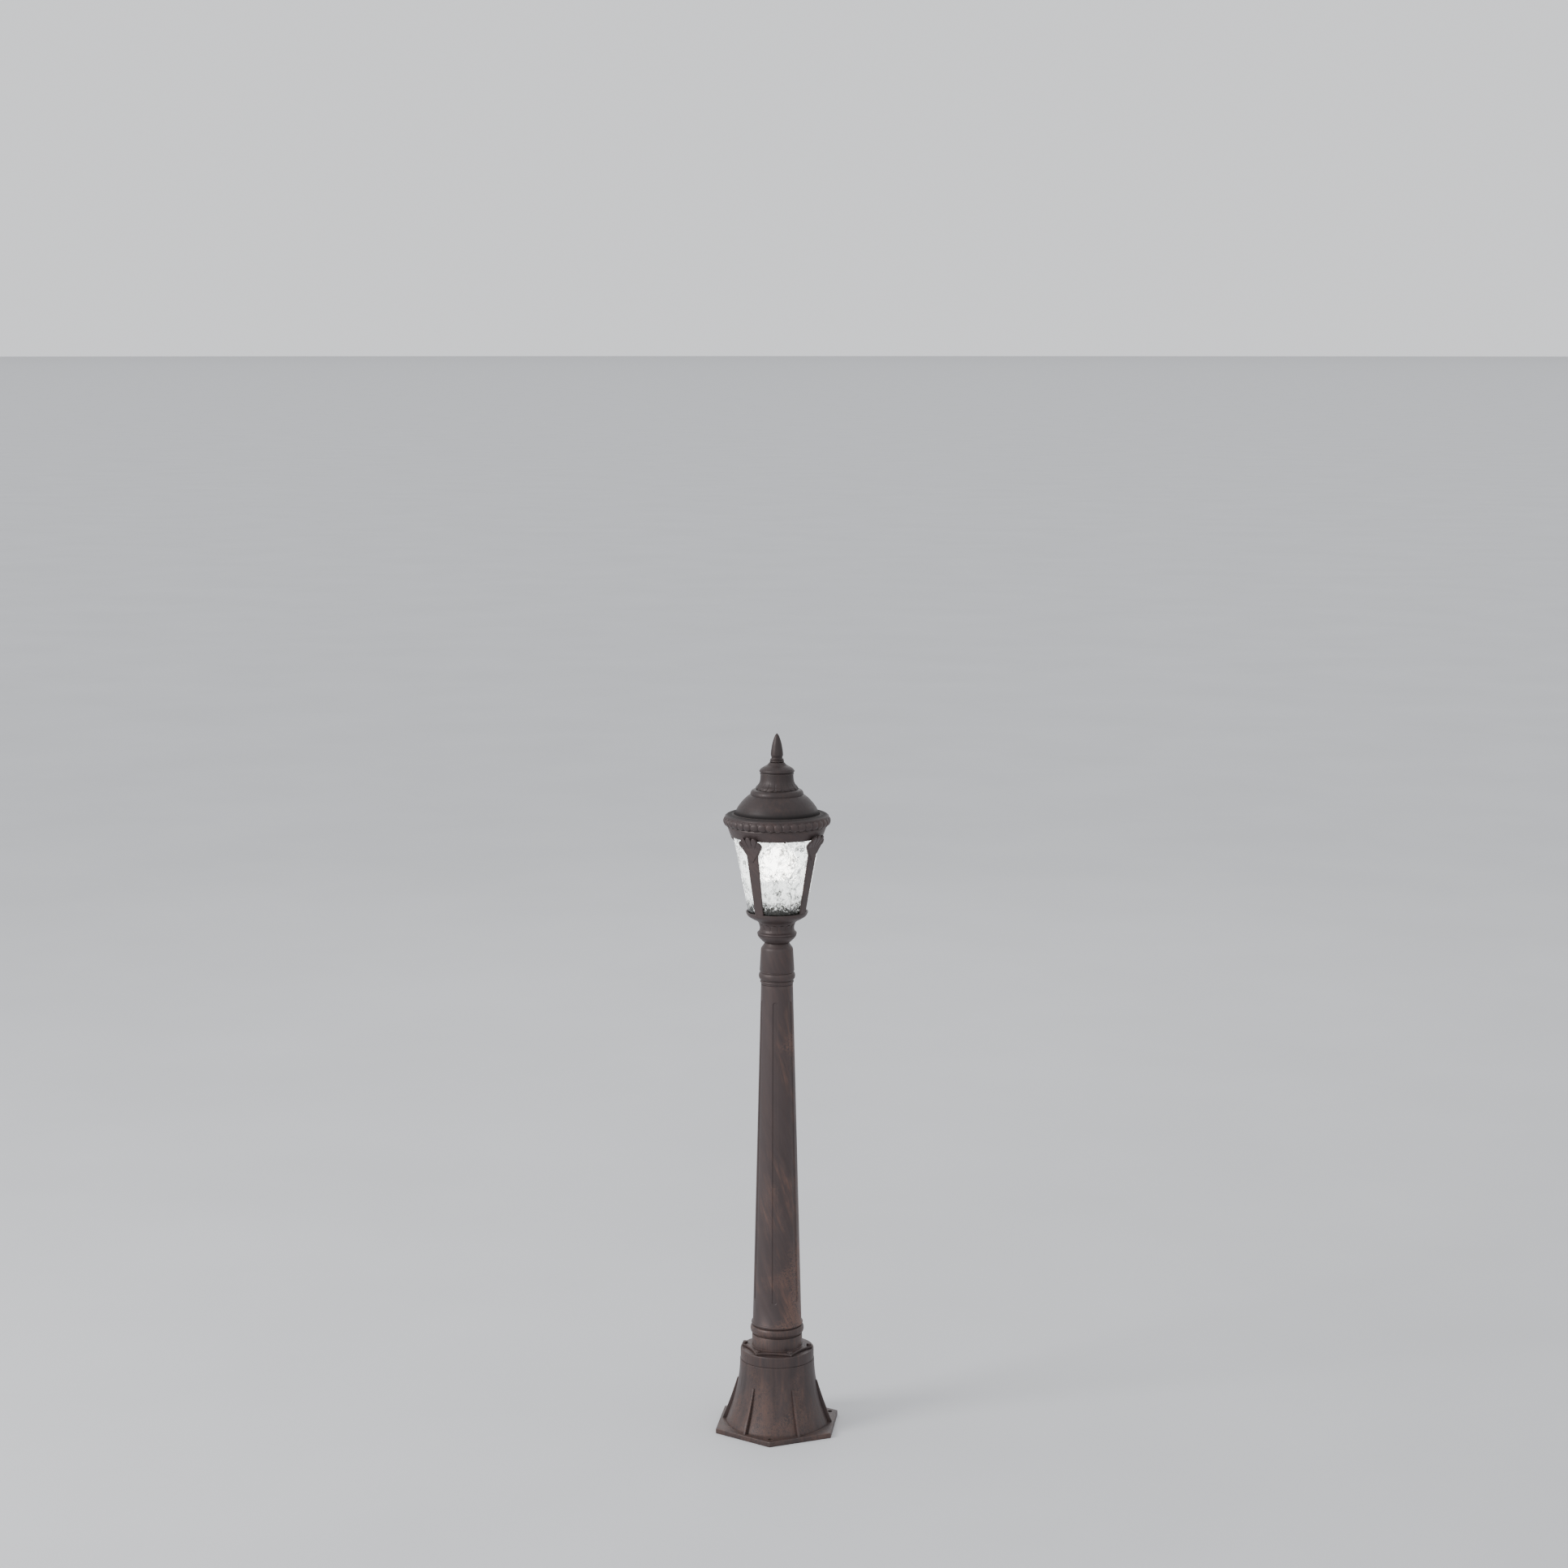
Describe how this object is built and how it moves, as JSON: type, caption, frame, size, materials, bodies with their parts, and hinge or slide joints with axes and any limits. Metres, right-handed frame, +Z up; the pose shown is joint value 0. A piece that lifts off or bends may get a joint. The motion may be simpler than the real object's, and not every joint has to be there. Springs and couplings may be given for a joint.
{
  "type": "street lamp post",
  "caption": "Cast lamp post with a flared bell base on a six-sided plate, a fluted tapered shaft and a round glass lantern under a beaded dome roof.",
  "frame": {"origin": "centre of the base plate's underside, on the post's axis", "axes": "+Z up along the post; +X to a corner of the six-sided plate; +Y to the middle of a side"},
  "size_m": [0.228, 0.1974, 1.2],
  "materials": {
    "cast_bronze": "aged bronze paint on cast aluminium, satin, brushed with copper streaks",
    "bolt_bronze": "steel bolts painted with the post",
    "fixing_steel": "zinc plated",
    "contact_brass": "plain brass",
    "cap_nickel": "nickel plated screw shell",
    "seal_rubber": "grey silicone",
    "clear_glass": "clear glass with a wavy surface",
    "holder_porcelain": "glazed white",
    "bulb_plastic": "white",
    "bulb_milk": "milky, lit",
    "lead_sheath": "black sheath",
    "earth_sleeve": "green sleeve"
  },
  "bodies": {
    "post": {"base_casting": "cast_bronze", "base_collar": "cast_bronze", "post_foot": "cast_bronze", "foot_ring": "cast_bronze", "shaft": "cast_bronze", "shaft_top_ring": "cast_bronze", "neck_sleeve": "cast_bronze", "flange_bolt_1": "bolt_bronze", "flange_bolt_2": "bolt_bronze", "flange_bolt_3": "bolt_bronze", "flange_bolt_4": "bolt_bronze", "flange_bolt_5": "bolt_bronze", "flange_bolt_6": "bolt_bronze", "lantern_pedestal": "cast_bronze", "lantern_bowl": "cast_bronze", "glass_gasket": "seal_rubber", "glass_shade": "clear_glass", "frieze_ring": "cast_bronze", "cage_strap_1": "cast_bronze", "cage_strap_2": "cast_bronze", "cage_strap_3": "cast_bronze", "cage_strap_4": "cast_bronze", "strap_screw_1": "fixing_steel", "strap_screw_2": "fixing_steel", "strap_screw_3": "fixing_steel", "strap_screw_4": "fixing_steel", "glass_clip_1": "cast_bronze", "glass_clip_2": "cast_bronze", "glass_clip_3": "cast_bronze", "glass_clip_4": "cast_bronze", "roof_bridge": "fixing_steel", "bridge_screw_1": "fixing_steel", "bridge_screw_2": "fixing_steel", "roof_stud": "fixing_steel", "stud_nut_lower": "fixing_steel", "stud_nut_upper": "fixing_steel", "cable_nipple": "fixing_steel", "nipple_nut_lower": "fixing_steel", "nipple_nut_upper": "fixing_steel", "lampholder": "holder_porcelain", "lampholder_contact": "contact_brass", "terminal_block": "holder_porcelain", "terminal_screw": "fixing_steel", "earth_screw": "contact_brass", "earth_wire": "earth_sleeve", "lamp_lead": "lead_sheath"},
    "roof": {"bead_ring": "cast_bronze", "roof_dome": "cast_bronze", "roof_neck": "cast_bronze", "roof_knob": "cast_bronze", "finial_washer": "cast_bronze"},
    "finial_insert": {"finial_insert": "contact_brass"},
    "finial": {"finial": "cast_bronze"},
    "bulb_contact": {"bulb_contact": "contact_brass"},
    "bulb": {"bulb_cap": "cap_nickel", "bulb_body": "bulb_plastic", "bulb_light_board": "bulb_plastic", "bulb_dome": "bulb_milk"}
  },
  "joints": [
    {"name": "roof_lift", "type": "slide", "parent": "post", "child": "roof", "axis": [0, 0, 1], "range_m": [0, 0.12]},
    {"name": "finial_rise", "type": "slide", "parent": "roof", "child": "finial_insert", "axis": [0, 0, 1], "range_m": [0, 0.01]},
    {"name": "finial_turn", "type": "hinge", "parent": "finial_insert", "child": "finial", "pos_m": [0, 0, 1.155], "axis": [0, 0, 1], "range_deg": [0, 2880]},
    {"name": "bulb_rise", "type": "slide", "parent": "post", "child": "bulb_contact", "axis": [0, 0, 1], "range_m": [0, 0.01815]},
    {"name": "bulb_turn", "type": "hinge", "parent": "bulb_contact", "child": "bulb", "pos_m": [0, 0, 0.9], "axis": [0, 0, 1], "range_deg": [0, 1800]}
  ],
  "couplings": [
    {"joint": "finial_rise", "follows": "finial_turn", "m_per_rad": 0.00019894},
    {"joint": "bulb_rise", "follows": "bulb_turn", "m_per_rad": 0.00057773}
  ]
}
